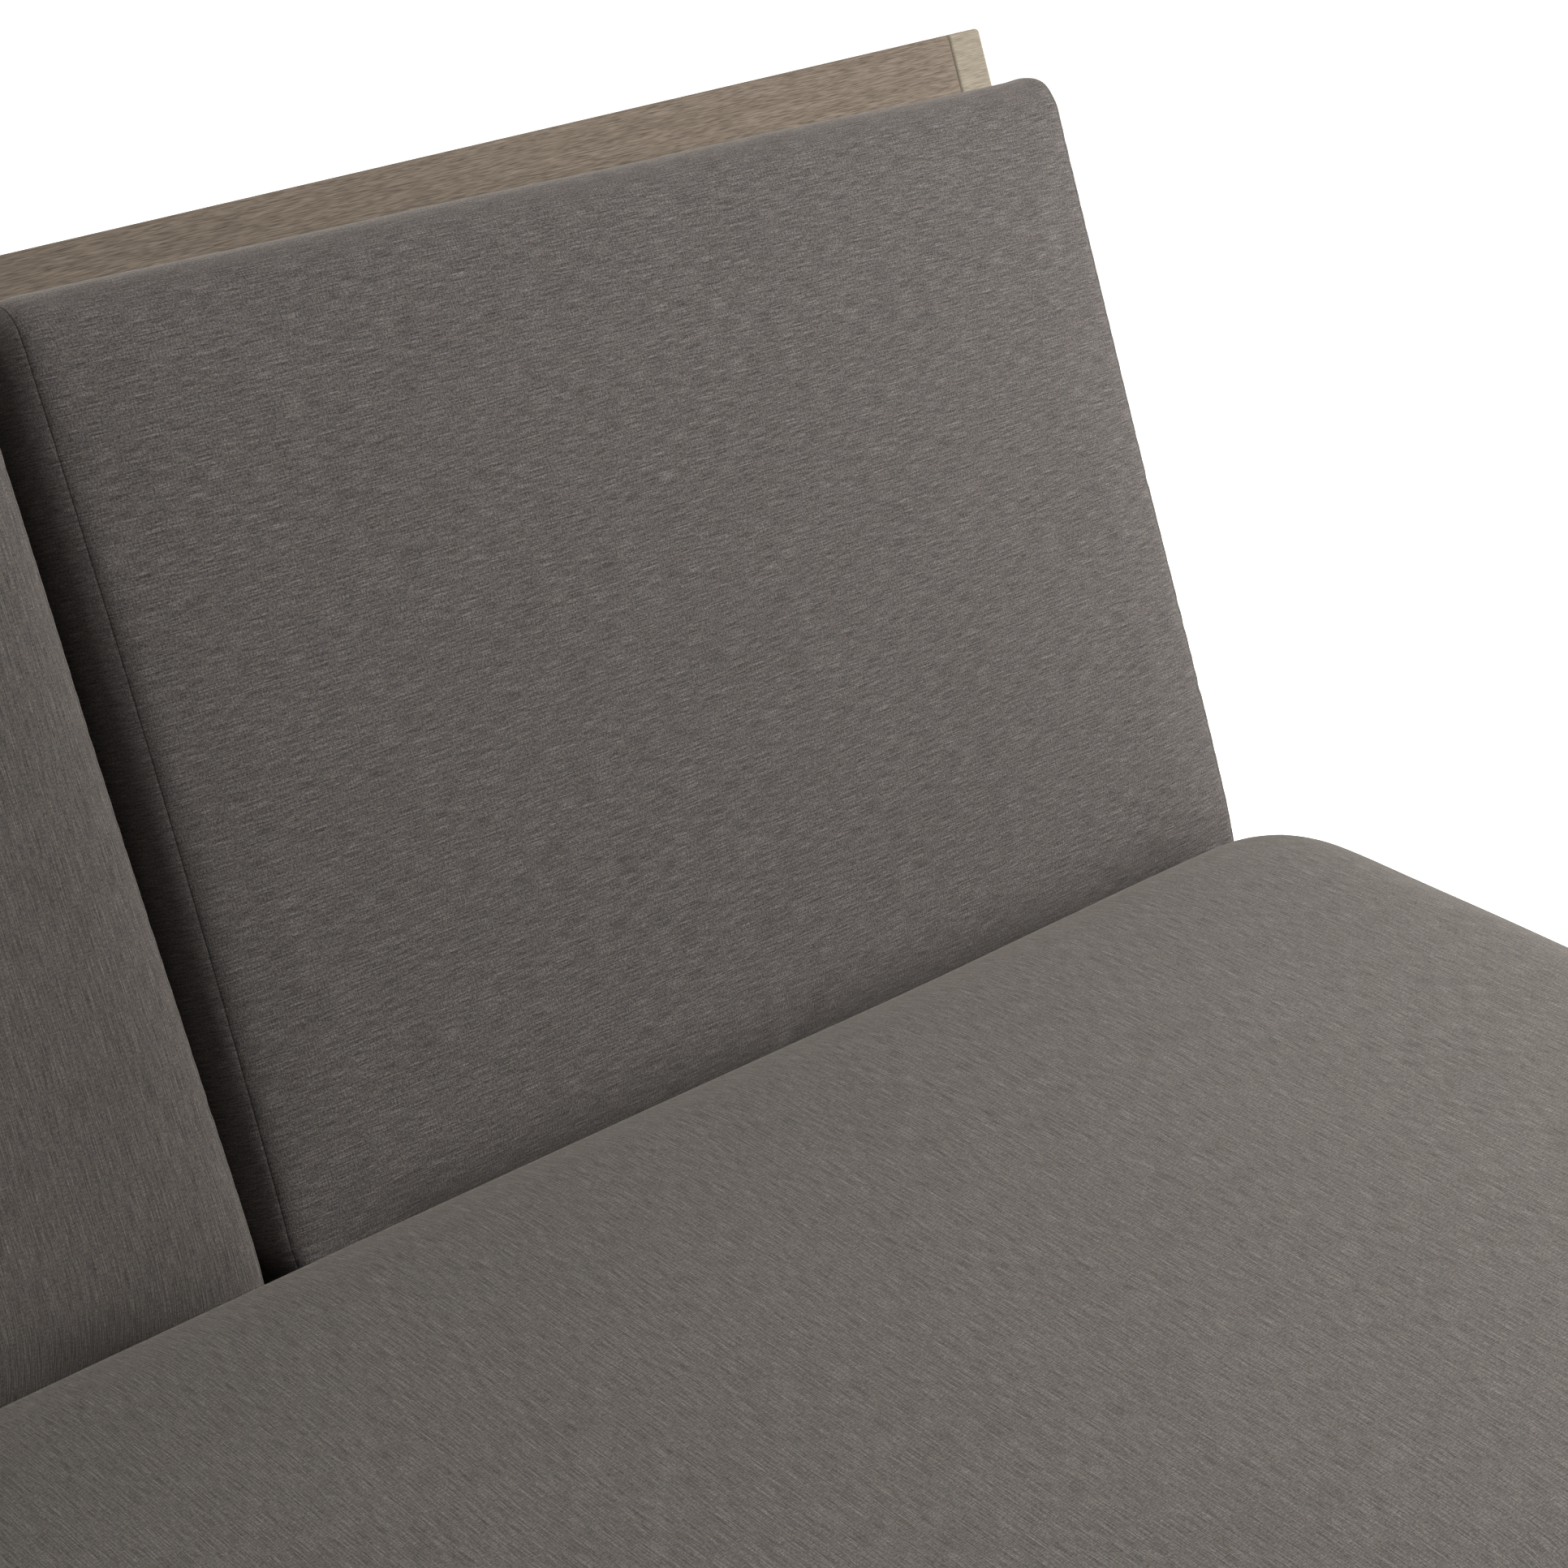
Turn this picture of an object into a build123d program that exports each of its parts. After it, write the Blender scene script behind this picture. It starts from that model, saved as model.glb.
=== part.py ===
"""Futon sofa bed: slatted wooden base, one seat cushion and a split back that reclines to a bed.

Millimetres. +X is the sofa's length, the seat faces -Y, +Z is up. The origin is on the floor
under the middle of the footprint. The back is drawn in the sofa position.
"""
import os
from math import asin, atan2, cos, degrees, hypot, radians, sin

from build123d import *

# Base frame
frame_length = 1940.0
frame_depth = 852.0
deck_height = 300.0
rail_bottom = 200.0
cross_rail_thickness = 24.0
bearer_thickness = 30.0
bearer_height = 62.0
far_bearer_x = -350.0
cleat_width = 25.0
cleat_height = 30.0
leg_side = 56.0
board_ease = 3.0
slat_front_gap = 2.0
cleat_rear_gap = 4.0
bearer_rear_drop = 6.0

# Seat slats
slat_count = 6
slat_width = 74.0
slat_thickness = 22.0
slat_end_gap = 1.0

# Feet and fasteners
glide_radius = 19.0
glide_height = 7.0
glide_pin_radius = 3.0
glide_pin_length = 18.0
bolt_radius = 4.0
bolt_head_radius = 8.0
bolt_head_depth = 4.0
bolt_grip = 42.0
blind_grip = 0.7
low_bolt_rise = 22.0
high_bolt_drop = 20.0
screw_radius = 2.4
screw_head_radius = 4.8
screw_head_depth = 2.6
screw_length = 42.0
screw_edge = 8.0
hole_clearance = 0.2
bracket_leg = 32.0
bracket_thickness = 2.5
bracket_height = 40.0
bracket_rise = 8.0

# Split back
recline = 21.8
back_height = 499.0
back_start = 14.0
back_thickness = 21.0
stile_width = 26.0
stile_top_ease = 2.5
top_rail_height = 70.0
bottom_rail_height = 54.0
back_slat_count = 3
back_slat_height = 68.0
back_slat_thickness = 14.0
tenon_length = 12.0
tenon_thickness = 8.0
tenon_shoulder = 9.0
split_x = 271.0
middle_stile_x = -353.0
rest_pad_height = 3.0
rest_pad_radius = 9.0
rest_gap = 0.3

# Reclining hinges, around one axis along X
pivot_above_deck = 61.0
seat_to_pivot = 22.0
plate_thickness = 4.0
centre_plate_thickness = 5.0
plate_gap = 0.25
boss_radius = 16.0
stem_half_width = 13.0
foot_length = 72.0
foot_height = 62.0
foot_drop = 84.0
foot_corner = 9.0
foot_bolt_inset = 16.0
foot_bolt_rise = 15.0
arm_low = 24.0
arm_high = 86.0
arm_end_radius = 9.5
arm_bolt_grip = 0.8
pivot_radius = 6.0
pivot_head_radius = 9.5
pivot_head_depth = 4.5
bush_radius = 8.0
running_clearance = 0.06

# Ratchet sector, its pawl and the pawl's leaf spring
tooth_radius = 36.0
tooth_depth = 5.0
tooth_pitch = 10.0
notch_count = 4
notch_width = 3.8
nose_width = 3.0
nose_angle = 32.0
nose_root_radius = 4.5
pawl_radius = 58.0
pawl_angle = 4.0
pawl_boss = 7.4
pawl_pin_radius = 3.0
pawl_side_gap = 0.2
pawl_lift = 12.0
nose_clearance = 0.6
spring_thickness = 0.8
spring_width = 3.0
spring_post_radius = 3.5
spring_post_up = 62.0
spring_post_in = 50.0
spring_gap = 0.3
leaf_overrun = 2.9

# Cushions
back_cushion_thickness = 96.0
back_cushion_crown = 16.0
back_cushion_start = 0.0
back_cushion_top = 471.0
cushion_end_inset = 46.0
cushion_split_gap = 26.0
seat_cushion_depth = 562.0
seat_cushion_thickness = 96.0
seat_cushion_crown = 16.0
seat_end_inset = 8.0
cushion_edge = 38.0
cushion_under_edge = 18.0
cushion_corner = 34.0
cushion_draw = 6.0
cushion_seat_gap = 0.3

os.makedirs("parts", exist_ok=True)

# Places worked out from the sizes above
half_length = frame_length / 2
front_y = -frame_depth / 2
rear_y = frame_depth / 2
side_rail_thickness = stile_width + plate_thickness + plate_gap
side_inner = half_length - side_rail_thickness
rail_front_inner = front_y + cross_rail_thickness
rail_rear_inner = rear_y - cross_rail_thickness
slat_underside = deck_height - slat_thickness
rear_top = deck_height - back_thickness - rest_pad_height - rest_gap
seat_back_y = front_y + seat_cushion_depth
pivot_y = seat_back_y + seat_to_pivot
pivot_z = deck_height + pivot_above_deck
back_front = -pivot_above_deck
back_mid = back_front - back_thickness / 2
section_gap = centre_plate_thickness + 2 * (plate_gap + plate_thickness)
SIDES = (("left", -1), ("right", 1))

back_plane = Plane(
    origin=(0, pivot_y, pivot_z),
    x_dir=(1, 0, 0),
    z_dir=(0, -cos(radians(recline)), sin(radians(recline))),
)
up_back = Axis((0, 0, 0), tuple(back_plane.y_dir))


def write(piece, name):
    """Label a finished piece and write it under its own name."""
    piece.part.label = name
    export_step(piece.part, f"parts/{name}.step")


def back_point(up, out):
    """Y and Z of a point on the back: up along it from the pivot, and out towards the front."""
    y = pivot_y + up * sin(radians(recline)) - out * cos(radians(recline))
    z = pivot_z + up * cos(radians(recline)) + out * sin(radians(recline))
    return (y, z)


def polar(radius, angle):
    """Y and Z of a point about the pivot, its angle turning from the rear upwards."""
    return (pivot_y + radius * cos(radians(angle)), pivot_z + radius * sin(radians(angle)))


def turned(point, centre, angle):
    """A point turned about a centre in the YZ plane."""
    y = point[0] - centre[0]
    z = point[1] - centre[1]
    c = cos(radians(angle))
    s = sin(radians(angle))
    return (centre[0] + y * c - z * s, centre[1] + y * s + z * c)


def rod(start, direction, radius, length, mode=Mode.ADD):
    """A round rod, or with Mode.SUBTRACT a drilled hole."""
    with BuildSketch(Plane(origin=start, z_dir=direction)) as disc:
        Circle(radius)
    extrude(disc.sketch, amount=length, mode=mode)


def board(x, y, z, along):
    """A board between pairs of coordinates, its long edges eased."""
    middle = [(pair[0] + pair[1]) / 2 for pair in (x, y, z)]
    with Locations(tuple(middle)):
        Box(x[1] - x[0], y[1] - y[0], z[1] - z[0])
    fillet(edges().filter_by(along), board_ease)


def bolt(start, direction, length):
    """A cap-head bolt whose head lies flush in the face that it starts from."""
    rod(start, direction, bolt_head_radius, bolt_head_depth)
    rod(start, direction, bolt_radius, length)


def bolt_hole(start, direction, length):
    """The stepped hole that a bolt lies in."""
    rod(start, direction, bolt_head_radius + hole_clearance, bolt_head_depth, Mode.SUBTRACT)
    rod(start, direction, bolt_radius + hole_clearance, length + hole_clearance, Mode.SUBTRACT)


def screw_down(x, y):
    """A slat screw driven down from the deck."""
    rod((x, y, deck_height), (0, 0, -1), screw_head_radius, screw_head_depth)
    rod((x, y, deck_height), (0, 0, -1), screw_radius, screw_length)


def screw_hole(x, y):
    """The stepped hole of a slat screw, through the slat and into what carries it."""
    head = screw_head_radius + hole_clearance
    shank = screw_radius + hole_clearance
    rod((x, y, deck_height), (0, 0, -1), head, screw_head_depth, Mode.SUBTRACT)
    rod((x, y, deck_height), (0, 0, -1), shank, screw_length + hole_clearance, Mode.SUBTRACT)


# Leg places: name, middle in X, front edge in Y, top
leg_x = side_inner - leg_side / 2
leg_places = []
for row, leg_front, leg_top in (
    ("front", rail_front_inner, slat_underside),
    ("rear", rail_rear_inner - leg_side, rear_top),
):
    leg_places.append((f"{row}_left_leg", -leg_x, leg_front, leg_top))
    leg_places.append((f"{row}_middle_leg", 0.0, leg_front, leg_top))
    leg_places.append((f"{row}_right_leg", leg_x, leg_front, leg_top))

# Bolts through each side rail: Y and Z of each, all along X
low_bolt = rail_bottom + low_bolt_rise
high_bolt = rear_top - high_bolt_drop
side_bolts = [
    (front_y + cross_rail_thickness / 2, (rail_bottom + deck_height) / 2),
    (rail_front_inner + leg_side / 2, low_bolt),
    (rail_front_inner + leg_side / 2, high_bolt),
    (rail_rear_inner - leg_side / 2, low_bolt),
    (rail_rear_inner - leg_side / 2, high_bolt),
    (rear_y - cross_rail_thickness / 2, (rail_bottom + rear_top) / 2),
]
side_bolt_length = side_rail_thickness + bolt_grip
middle_bolt_length = leg_side + cross_rail_thickness * blind_grip

# Hinge foot bolts: Y and Z of each, from the plate into the wood
foot_front = pivot_y - stem_half_width
foot_top = pivot_z - foot_drop
foot_bolts = [
    (foot_front + foot_bolt_inset, foot_top - foot_bolt_inset),
    (foot_front + foot_length - foot_bolt_inset, foot_top - foot_bolt_inset),
    (foot_front + foot_length / 2, foot_top - foot_height + foot_bolt_rise),
]
foot_bolt_length = plate_thickness + side_rail_thickness * blind_grip

# Slat places and screws
slat_zone_front = rail_front_inner + slat_front_gap
slat_pitch = (seat_back_y - slat_zone_front - slat_width) / (slat_count - 1)
slat_places = [slat_zone_front + slat_width / 2 + i * slat_pitch for i in range(slat_count)]
slat_half = side_inner - slat_end_gap
near_bearer_x = split_x + centre_plate_thickness / 2 + bearer_thickness / 2
cleat_front = rail_front_inner + leg_side
cleat_rear = seat_back_y - cleat_rear_gap
cleat_screw_x = side_inner - cleat_width / 2
cleat_screw_places = [
    y for y in slat_places if cleat_front + screw_edge < y < cleat_rear - screw_edge
]
leg_screw_places = [y for y in slat_places if y <= cleat_front + screw_edge]


def slat_screw_places():
    """X and Y of every slat screw: two bearers, two cleats and the front legs."""
    places = []
    for y in slat_places:
        places.append((near_bearer_x, y))
        places.append((far_bearer_x, y))
    for y in cleat_screw_places:
        places.append((-cleat_screw_x, y))
        places.append((cleat_screw_x, y))
    for y in leg_screw_places:
        places.append((-leg_x, y))
        places.append((leg_x, y))
    return places


# Side rails: full height under the seat, stepped down where the back lies as a bed
for side, sign in SIDES:
    with BuildPart() as side_rail:
        with BuildSketch(Plane.YZ.offset(sign * side_inner)):
            with BuildLine():
                Polyline(
                    (front_y, rail_bottom),
                    (rear_y, rail_bottom),
                    (rear_y, rear_top),
                    (seat_back_y, rear_top),
                    (seat_back_y, deck_height),
                    (front_y, deck_height),
                    close=True,
                )
            make_face()
        extrude(amount=sign * side_rail_thickness)
        fillet(edges().filter_by(Axis.Y), board_ease)
        for y, z in side_bolts:
            bolt_hole((sign * half_length, y, z), (-sign, 0, 0), side_bolt_length)
        for y, z in foot_bolts:
            start = (sign * (side_inner - plate_thickness), y, z)
            rod(start, (sign, 0, 0), bolt_radius + hole_clearance, foot_bolt_length, Mode.SUBTRACT)
    write(side_rail, f"{side}_side_rail")

# Front and rear rails between the side rails
with BuildPart() as front_rail:
    board((-side_inner, side_inner), (front_y, rail_front_inner), (rail_bottom, deck_height), Axis.X)
    for side, sign in SIDES:
        y, z = side_bolts[0]
        bolt_hole((sign * half_length, y, z), (-sign, 0, 0), side_bolt_length)
    for z in (low_bolt, high_bolt):
        bolt_hole((0, rail_front_inner + leg_side, z), (0, -1, 0), middle_bolt_length)
write(front_rail, "front_rail")

pad_places = (half_length - stile_width / 2, split_x + section_gap / 2 + stile_width / 2)
pad_xs = [pad_places[0], pad_places[1], split_x - section_gap / 2 - stile_width / 2]
pad_xs += [middle_stile_x, -pad_places[0]]
pad_y = rear_y - cross_rail_thickness / 2

with BuildPart() as rear_rail:
    board((-side_inner, side_inner), (rail_rear_inner, rear_y), (rail_bottom, rear_top), Axis.X)
    for side, sign in SIDES:
        y, z = side_bolts[5]
        bolt_hole((sign * half_length, y, z), (-sign, 0, 0), side_bolt_length)
    for z in (low_bolt, high_bolt):
        bolt_hole((0, rail_rear_inner - leg_side, z), (0, 1, 0), middle_bolt_length)
write(rear_rail, "rear_rail")

with BuildPart() as rest_pads:
    for x in pad_xs:
        rod((x, pad_y, rear_top), (0, 0, 1), rest_pad_radius, rest_pad_height)
write(rest_pads, "rest_pads")

# Bearers run from front to rear under the slats, lower behind the seat
bearer_bottom = slat_underside - bearer_height
bearer_rear_top = rear_top - bearer_rear_drop


def bearer_solid(middle_x, plate_holes):
    """One stepped bearer, drilled for its slat screws."""
    with BuildSketch(Plane.YZ.offset(middle_x - bearer_thickness / 2)) as profile:
        with BuildLine():
            Polyline(
                (rail_front_inner, bearer_bottom),
                (rail_rear_inner, bearer_bottom),
                (rail_rear_inner, bearer_rear_top),
                (seat_back_y, bearer_rear_top),
                (seat_back_y, slat_underside),
                (rail_front_inner, slat_underside),
                close=True,
            )
        make_face()
    extrude(profile.sketch, amount=bearer_thickness)
    fillet(edges().filter_by(Axis.Y), board_ease)
    for y in slat_places:
        screw_hole(middle_x, y)
    for y, z in plate_holes:
        start = (middle_x - bearer_thickness / 2 - plate_thickness, y, z)
        rod(start, (1, 0, 0), bolt_radius + hole_clearance, foot_bolt_length, Mode.SUBTRACT)


with BuildPart() as near_bearer:
    bearer_solid(near_bearer_x, foot_bolts)
write(near_bearer, "centre_bearer")

with BuildPart() as far_bearer:
    bearer_solid(far_bearer_x, ())
write(far_bearer, "left_bearer")

# Steel angle brackets hold the bearers to the front and rear rails
with BuildPart() as bearer_brackets:
    for middle_x in (near_bearer_x, far_bearer_x):
        face = middle_x + bearer_thickness / 2
        for rail_face, toward in ((rail_front_inner, 1), (rail_rear_inner, -1)):
            with BuildSketch(Plane.XY.offset(bearer_bottom + bracket_rise)):
                with BuildLine():
                    Polyline(
                        (face, rail_face),
                        (face + bracket_leg, rail_face),
                        (face + bracket_leg, rail_face + toward * bracket_thickness),
                        (face + bracket_thickness, rail_face + toward * bracket_thickness),
                        (face + bracket_thickness, rail_face + toward * bracket_leg),
                        (face, rail_face + toward * bracket_leg),
                        close=True,
                    )
                make_face()
            extrude(amount=bracket_height)
write(bearer_brackets, "bearer_brackets")

# Cleats on the side rails carry the slat ends
for side, sign in SIDES:
    with BuildPart() as cleat:
        near = sign * side_inner
        far = sign * (side_inner - cleat_width)
        board(
            (min(near, far), max(near, far)),
            (cleat_front, cleat_rear),
            (slat_underside - cleat_height, slat_underside),
            Axis.Y,
        )
        for y in cleat_screw_places:
            screw_hole(sign * cleat_screw_x, y)
    write(cleat, f"{side}_slat_cleat")

with BuildPart() as seat_slats:
    with Locations(*[(0, y, deck_height - slat_thickness / 2) for y in slat_places]):
        Box(2 * slat_half, slat_width, slat_thickness)
    fillet(edges().filter_by(Axis.X), board_ease)
    for x, y in slat_screw_places():
        screw_hole(x, y)
write(seat_slats, "seat_slats")

with BuildPart() as slat_screws:
    for x, y in slat_screw_places():
        screw_down(x, y)
write(slat_screws, "slat_screws")

# Six square legs on glides
for name, x, leg_front, leg_top in leg_places:
    with BuildPart() as leg:
        leg_box = (x - leg_side / 2, x + leg_side / 2)
        board(leg_box, (leg_front, leg_front + leg_side), (glide_height, leg_top), Axis.Z)
        pin = glide_pin_radius + hole_clearance
        pin_start = (x, leg_front + leg_side / 2, glide_height)
        rod(pin_start, (0, 0, 1), pin, glide_pin_length + hole_clearance, Mode.SUBTRACT)
        sign = (x > 0) - (x < 0)
        if sign:
            for y, z in side_bolts[1:5]:
                bolt_hole((sign * half_length, y, z), (-sign, 0, 0), side_bolt_length)
            for y in leg_screw_places:
                screw_hole(x, y)
        elif leg_front < 0:
            for z in (low_bolt, high_bolt):
                bolt_hole((0, leg_front + leg_side, z), (0, -1, 0), middle_bolt_length)
        else:
            for z in (low_bolt, high_bolt):
                bolt_hole((0, leg_front, z), (0, 1, 0), middle_bolt_length)
    write(leg, name)

with BuildPart() as leg_glides:
    for name, x, leg_front, leg_top in leg_places:
        middle = (x, leg_front + leg_side / 2)
        rod((*middle, 0), (0, 0, 1), glide_radius, glide_height)
        rod((*middle, glide_height), (0, 0, 1), glide_pin_radius, glide_pin_length)
write(leg_glides, "leg_glides")

with BuildPart() as frame_bolts:
    for side, sign in SIDES:
        for y, z in side_bolts:
            bolt((sign * half_length, y, z), (-sign, 0, 0), side_bolt_length)
    for z in (low_bolt, high_bolt):
        bolt((0, rail_front_inner + leg_side, z), (0, -1, 0), middle_bolt_length)
        bolt((0, rail_rear_inner - leg_side, z), (0, 1, 0), middle_bolt_length)
write(frame_bolts, "frame_bolts")

# Fixed hinge plates: a boss round the pivot, a stem and a bolted foot
outer_plate_face = side_inner - plate_thickness
centre_plate_face = split_x - centre_plate_thickness / 2
tooth_top = nose_angle - degrees(notch_width / 2 / tooth_radius)
tooth_low = nose_angle - notch_count * tooth_pitch + degrees(notch_width / 2 / tooth_radius)


def plate_outline():
    """The fixed plate's outline in the current sketch."""
    with BuildSketch(mode=Mode.PRIVATE) as stem:
        with Locations((pivot_y, pivot_z)):
            Circle(boss_radius)
        with Locations((pivot_y, foot_top)):
            Circle(stem_half_width)
        make_hull()
    add(stem.sketch)
    with Locations((foot_front + foot_length / 2, foot_top - foot_height / 2)):
        RectangleRounded(foot_length, foot_height, foot_corner)


def ratchet_sector():
    """The toothed sector that the pawl drops into, added to the current sketch."""
    with BuildSketch(mode=Mode.PRIVATE) as sector:
        with BuildLine():
            Line((pivot_y, pivot_z), polar(tooth_radius, tooth_low))
            ThreePointArc(
                polar(tooth_radius, tooth_low),
                polar(tooth_radius, (tooth_low + tooth_top) / 2),
                polar(tooth_radius, tooth_top),
            )
            Line(polar(tooth_radius, tooth_top), (pivot_y, pivot_z))
        make_face()
        for step in range(1, notch_count):
            angle = nose_angle - step * tooth_pitch
            with Locations(polar(tooth_radius, angle)):
                Rectangle(2 * tooth_depth, notch_width, rotation=angle, mode=Mode.SUBTRACT)
    add(sector.sketch)


for side, sign in SIDES:
    with BuildPart() as hinge_plate:
        with BuildSketch(Plane.YZ.offset(sign * outer_plate_face)):
            plate_outline()
            ratchet_sector()
            with Locations((pivot_y, pivot_z)):
                Circle(pivot_radius, mode=Mode.SUBTRACT)
            with Locations(*foot_bolts):
                Circle(bolt_radius + hole_clearance, mode=Mode.SUBTRACT)
        extrude(amount=sign * plate_thickness)
    write(hinge_plate, f"{side}_ratchet_plate")

with BuildPart() as centre_plate:
    with BuildSketch(Plane.YZ.offset(centre_plate_face)):
        plate_outline()
        with Locations((pivot_y, pivot_z)):
            Circle(pivot_radius, mode=Mode.SUBTRACT)
        with Locations(*foot_bolts):
            Circle(bolt_radius + hole_clearance, mode=Mode.SUBTRACT)
    extrude(amount=centre_plate_thickness)
write(centre_plate, "centre_hinge_plate")

with BuildPart() as plate_bolts:
    for start_x, sign in (
        (-outer_plate_face, -1),
        (outer_plate_face, 1),
        (centre_plate_face, 1),
    ):
        for y, z in foot_bolts:
            rod((start_x, y, z), (-sign, 0, 0), bolt_head_radius, bolt_head_depth)
            rod((start_x, y, z), (sign, 0, 0), bolt_radius, foot_bolt_length - hole_clearance)
write(plate_bolts, "hinge_plate_bolts")

# Pivot bolts and nuts: ends of the stack of plates at each hinge
outer_stack = (outer_plate_face, side_inner + plate_gap + plate_thickness)
stacks = {
    "left": (-outer_stack[1], -outer_stack[0]),
    "centre": (split_x - section_gap / 2, split_x + section_gap / 2),
    "right": outer_stack,
}
for place, (low, high) in stacks.items():
    head_at_low = place == "right"
    head = low if head_at_low else high
    outward = -1 if head_at_low else 1
    tail = high if head_at_low else low
    with BuildPart() as pivot_bolt:
        span = high - low + 2 * plate_gap + pivot_head_depth
        rod((head, pivot_y, pivot_z), (outward, 0, 0), pivot_head_radius, pivot_head_depth)
        rod((head, pivot_y, pivot_z), (-outward, 0, 0), pivot_radius, span)
    write(pivot_bolt, f"{place}_pivot_bolt")
    with BuildPart() as pivot_nut:
        nut_face = tail - outward * plate_gap
        with BuildSketch(Plane(origin=(nut_face, pivot_y, pivot_z), z_dir=(-outward, 0, 0))):
            RegularPolygon(pivot_head_radius, 6)
            Circle(pivot_radius, mode=Mode.SUBTRACT)
        extrude(amount=pivot_head_depth)
    write(pivot_nut, f"{place}_pivot_nut")

# Each back section: outer end, inner end, stile middles and the cushion's ends
right_inner = split_x + section_gap / 2
left_inner = split_x - section_gap / 2
cushion_half = half_length - cushion_end_inset
sections = {
    "right": {
        "ends": (right_inner, half_length),
        "stiles": (right_inner + stile_width / 2, half_length - stile_width / 2),
        "cushion": (split_x + cushion_split_gap / 2, cushion_half),
        "outward": 1,
    },
    "left": {
        "ends": (-half_length, left_inner),
        "stiles": (-half_length + stile_width / 2, middle_stile_x, left_inner - stile_width / 2),
        "cushion": (-cushion_half, split_x - cushion_split_gap / 2),
        "outward": -1,
    },
}
slat_zone = back_height - top_rail_height - back_start - bottom_rail_height
back_slat_gap = (slat_zone - back_slat_count * back_slat_height) / (back_slat_count + 1)
first_slat = back_start + bottom_rail_height + back_slat_gap + back_slat_height / 2
back_slat_places = [
    first_slat + i * (back_slat_height + back_slat_gap) for i in range(back_slat_count)
]
arm_bolts = (back_start + bottom_rail_height / 2, arm_high)
arm_bolt_length = stile_width + plate_thickness + bolt_grip
inner_bolt_length = plate_thickness + stile_width * arm_bolt_grip


def back_board(x, up, thickness, along):
    """A flat member of the back, its front face in the back's front plane."""
    with BuildSketch(back_plane.offset(back_front)) as face:
        with Locations(((x[0] + x[1]) / 2, (up[0] + up[1]) / 2)):
            Rectangle(x[1] - x[0], up[1] - up[0])
    extrude(face.sketch, amount=-thickness)
    fillet(edges().filter_by(along), board_ease)


def tenon_block(x, up, height, thickness, extra, mode):
    """A tenon, or with extra room and Mode.SUBTRACT its mortise."""
    tenon_height = height - 2 * tenon_shoulder + 2 * extra
    tenon_depth = tenon_thickness + 2 * extra
    with BuildSketch(back_plane.offset(back_front - thickness / 2 - tenon_depth / 2)) as face:
        with Locations(((x[0] + x[1]) / 2, up)):
            Rectangle(x[1] - x[0], tenon_height)
    extrude(face.sketch, amount=tenon_depth, mode=mode)


def arm_holes(outward, ends, length_outer, length_inner):
    """Holes for the bolts of a section's outer and inner hinge arms."""
    outer = ends[1] if outward > 0 else ends[0]
    inner = ends[0] if outward > 0 else ends[1]
    for up in arm_bolts:
        y, z = back_point(up, back_mid)
        bolt_hole((outer, y, z), (-outward, 0, 0), length_outer)
        arm_face = inner - outward * plate_thickness
        bolt_hole((arm_face, y, z), (outward, 0, 0), length_inner)


top_middle = back_height - top_rail_height / 2

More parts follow.
